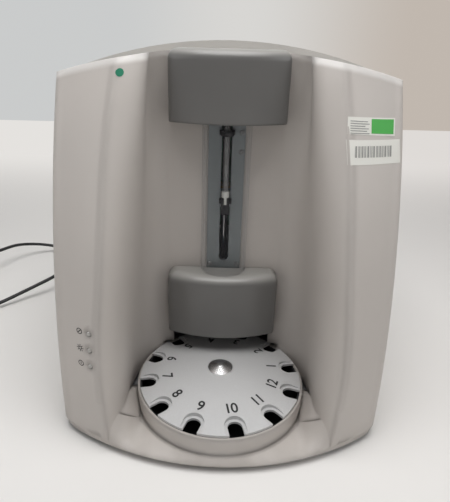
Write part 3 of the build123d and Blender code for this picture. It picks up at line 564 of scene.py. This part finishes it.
number_circle, number_tall, number_width, ten_heading = 67.6, 18.5, 0.95, -79.1
number_points, number_faces = [], []
for number in range(1, 13):
    heading = math.radians(ten_heading + 30 * (number - 10))
    turn = heading + math.pi / 2
    letters = bpy.data.curves.new("number", "FONT")
    letters.body = str(number)
    letters.size = number_tall
    letters.align_x, letters.align_y = "CENTER", "CENTER"
    letters.offset = 0.35
    if number > 9:
        letters.space_character = 0.88
    shape = bpy.data.objects.new("number", letters)
    flat = bpy.data.meshes.new_from_object(shape)
    high = [v.co.y for v in flat.vertices]
    middle = (max(high) + min(high)) / 2
    first = len(number_points)
    for v in flat.vertices:
        u, w = v.co.x * number_width, v.co.y - middle
        x = number_circle * math.cos(heading) + u * math.cos(turn) - w * math.sin(turn)
        y = number_circle * math.sin(heading) + u * math.sin(turn) + w * math.cos(turn)
        number_points.append((x * MM, (axis_y + y) * MM, (dome_height(x, y) + 0.12) * MM))
    number_faces += [tuple(first + i for i in p.vertices) for p in flat.polygons]
    bpy.data.objects.remove(shape)
sheet_piece("carousel_numbers", number_points, number_faces, black_ink, "carousel")


# ---- fluidics -----------------------------------------------------------
# A glass syringe and its white plunger on an aluminium frame, a rotary valve
# in white acetal, and the wash station under the probe.
acetal = moulded("white_acetal", (0.74, 0.735, 0.71), (0.68, 0.675, 0.65), grain=1600, depth=0.00002,
                 rough=(0.3, 0.4))
dress(acetal, "selector_valve", "syringe_plunger", "wash_station", "reagent_fittings")
syringe_glass = translucent("syringe_glass", (0.86, 0.90, 0.90), (0.76, 0.80, 0.80), 0.22, 0.06)
flow_glass = translucent("flow_cell_glass", (0.82, 0.84, 0.86), (0.70, 0.73, 0.76), 0.38, 0.08)
dress(syringe_glass, "syringe_barrel")
dress(flow_glass, "flow_cell")


# ---- fan and rear fittings ----------------------------------------------
# An axial fan behind a bright wire guard, and below it the mains inlet, the
# rocker switch, the data port and four reagent fittings, each set in the panel.
fan_plastic = moulded("fan_plastic", (0.018, 0.018, 0.018), (0.011, 0.011, 0.011), grain=1500,
                      rough=(0.45, 0.6))
dress(fan_plastic, "fan_frame", "fan_rotor")
inlet_plastic = moulded("inlet_plastic", (0.026, 0.026, 0.027), (0.018, 0.018, 0.018), grain=1500,
                        rough=(0.3, 0.42))
dress(inlet_plastic, "power_inlet", "switch_body", "power_rocker")
plated = brushed("plated_screws", (0.62, 0.61, 0.58), (0.46, 0.45, 0.43), (6, 1, 1), (0.22, 0.36), 900)
dress(plated, "panel_screws")


# ---- mains cord ---------------------------------------------------------
# A 6 mm round black PVC mains lead, free of the casing from the inlet on: it
# swings out to the side and back, and its spare length lies coiled behind.
vinyl = Finish("lead_vinyl", Specular_IOR_Level=0.4)
vinyl_haze = vinyl.noise(90, 4)
lead_vinyl = vinyl.join(vinyl_haze.tint((0.011, 0.011, 0.012), (0.028, 0.028, 0.029)),
                        vinyl_haze * 0.2 + 0.35, vinyl.noise(2200, 2), 0.00004)
dress(lead_vinyl, "mains_connector", "mains_plug")
cord_size = 6.2 * MM
outer_turn, inner_turn, top_turn = 40.1, 33.9, 37.0
floor_z, layer_z = 3.2, 9.5
coil_middle = (60.0, 318.0)
route = [
    (-120, 242, 62), (-120, 284, 62), (-138, 330, 59), (-185, 352, 52),
    (-232, 328, 46), (-263, 286, 41), (-283, 240, 35), (-308, 195, 29), (-345, 163, 19), (-386, 124, 9),
    (-424, 93, 5), (-470, 84, 5), (-502, 115, 11), (-509, 165, 22), (-494, 215, 34), (-465, 248, 39),
    (-444, 282, 40), (-428, 325, 34), (-388, 360, 20), (-338, 366, 8), (-286, 352, 4),
    (-232, 352, floor_z), (-176, 366, floor_z), (-120, 371, floor_z), (-66, 364, floor_z),
    (-20, 359, floor_z), (25, 358, floor_z),
]
turn_points = 14
for step in range(3 * turn_points + 1):
    turn = step / turn_points
    to_inner = min(max((turn - 0.7) / 0.3, 0), 1)
    to_top = min(max((turn - 1.4) / 0.3, 0), 1)
    reach = outer_turn + to_inner * (inner_turn - outer_turn) + to_top * (top_turn - inner_turn)
    angle = math.radians(90) - turn * math.tau
    route.append((coil_middle[0] + reach * math.cos(angle), coil_middle[1] + reach * math.sin(angle),
                  floor_z + to_top * (layer_z - floor_z)))
route += [(88, 356, 9), (112, 343, 9), (122, 328, 10.2), (139, 296, 10.2)]

line = bpy.data.curves.new("mains_cord", "CURVE")
line.dimensions = "3D"
lead = line.splines.new("NURBS")
lead.points.add(len(route) - 1)
for point, place in zip(lead.points, route):
    point.co = (*(c * MM for c in place), 1)
lead.order_u = 3
lead.use_endpoint_u = True
lead.resolution_u = 8
line.bevel_depth = cord_size / 2
line.bevel_resolution = 4
line.use_fill_caps = True
mains_cord = bpy.data.objects.new("mains_cord", line)
bpy.context.scene.collection.objects.link(mains_cord)
line.materials.append(lead_vinyl)
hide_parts("mains_cord_run", "mains_cord_coil", "mains_cord_tail")
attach(mains_cord, "casing")
tuple(c * MM for c in route[0])


# ---- floor, lights and camera -------------------------------------------
# A pale bench top in front of a pale wall, soft light from above and from both
# sides, and a camera in front of the casing that looks down on the carousel.
fade_start, fade_end = 0.45, 1.3


def stage_finish(name, left, middle, right):
    """A matt surface shaded from left to right that fades to its plain colour far behind the object."""
    cloth = Finish(name, Specular_IOR_Level=0.1)
    across = cloth.x.rise(-0.6, 0.1).tint(left, middle)
    across = cloth.x.rise(0.1, 1.0).tint(across, right)
    cloth.join(across, cloth.noise(3, 4) * 0.05 + 0.88)
    glow = across.node("ShaderNodeEmission", {}, {"Color": across})
    camera_ray, glossy_ray, clear_ray = (across.node("ShaderNodeLightPath", {}, {}, ray)
                                         for ray in ("Is Camera Ray", "Is Glossy Ray", "Is Transmission Ray"))
    seen = across.maths("MAXIMUM", camera_ray, across.maths("MAXIMUM", glossy_ray, clear_ray))
    both = across.node("ShaderNodeMixShader", {}, {0: seen * cloth.y.rise(fade_start, fade_end)})
    links = cloth.tree.links
    links.new(cloth.shader.outputs[0], both.socket.node.inputs[1])
    links.new(glow.socket, both.socket.node.inputs[2])
    links.new(both.socket, cloth.tree.nodes["Material Output"].inputs["Surface"])
    return cloth.material


def plate(name, corners, material):
    """A flat part of the stage."""
    mesh = bpy.data.meshes.new(name)
    mesh.from_pydata(corners, [], [(0, 1, 2, 3)])
    made = bpy.data.objects.new(name, mesh)
    mesh.materials.append(material)
    bpy.context.scene.collection.objects.link(made)


bench_white = (0.78, 0.76, 0.735)
pale_bench = stage_finish("pale_bench", bench_white, bench_white, (0.73, 0.70, 0.675))
pale_wall = stage_finish("pale_wall", (0.59, 0.60, 0.60), (0.68, 0.67, 0.65), (0.53, 0.475, 0.425))
bench_front, wall_y, stage_half, wall_top = -3, 2.1, 4, 4
plate("bench_top", [(-stage_half, bench_front, 0), (stage_half, bench_front, 0),
                    (stage_half, wall_y, 0), (-stage_half, wall_y, 0)], pale_bench)
plate("back_wall", [(-stage_half, wall_y, 0), (stage_half, wall_y, 0),
                    (stage_half, wall_y, wall_top), (-stage_half, wall_y, wall_top)], pale_wall)

world = bpy.data.worlds.new("room")
bpy.context.scene.world = world
world.use_nodes = True
room_light = world.node_tree.nodes["Background"]
room_light.inputs["Color"].default_value = (0.95, 0.97, 1.0, 1)
room_light.inputs["Strength"].default_value = 0.26


def soft_lamp(name, place, size, power):
    """A square light aimed at the middle of the casing's front."""
    lamp = bpy.data.lights.new(name, "AREA")
    lamp.energy, lamp.size = power, size
    made = bpy.data.objects.new(name, lamp)
    made.location = place
    made.rotation_euler = (front_middle - Vector(place)).to_track_quat("-Z", "Y").to_euler()
    bpy.context.scene.collection.objects.link(made)


front_middle = Vector((0, -0.1, 0.2))
soft_lamp("ceiling_light", (0.0, -0.35, 1.9), 1.3, 27)
soft_lamp("left_window", (-1.7, -0.9, 1.0), 1.1, 5.5)
soft_lamp("right_window", (1.7, -0.8, 1.1), 1.1, 7.5)

picture_wide, picture_high, focal = 450, 502, 470.0
centre_x, centre_y = 214.2, 250.1
camera_place = Vector((-0.00808, -0.58105, 0.43876))
yaw, pitch, roll = (math.radians(a) for a in (-0.40, 24.17, 1.38))
ahead = Vector((math.sin(yaw) * math.cos(pitch), math.cos(yaw) * math.cos(pitch), -math.sin(pitch)))
level = Vector((math.cos(yaw), -math.sin(yaw), 0))
above = level.cross(ahead)
side = math.cos(roll) * level + math.sin(roll) * above
top = math.cos(roll) * above - math.sin(roll) * level
view = bpy.data.cameras.new("camera")
view.lens = focal / picture_high * view.sensor_width
view.shift_x = (picture_wide / 2 - centre_x) / picture_high
view.shift_y = (centre_y - picture_high / 2) / picture_high
camera = bpy.data.objects.new("camera", view)
camera.matrix_world = Matrix.Translation(camera_place) @ Matrix((side, top, -ahead)).transposed().to_4x4()
bpy.context.scene.collection.objects.link(camera)
bpy.context.scene.camera = camera
bpy.context.scene.view_settings.view_transform = "Standard"
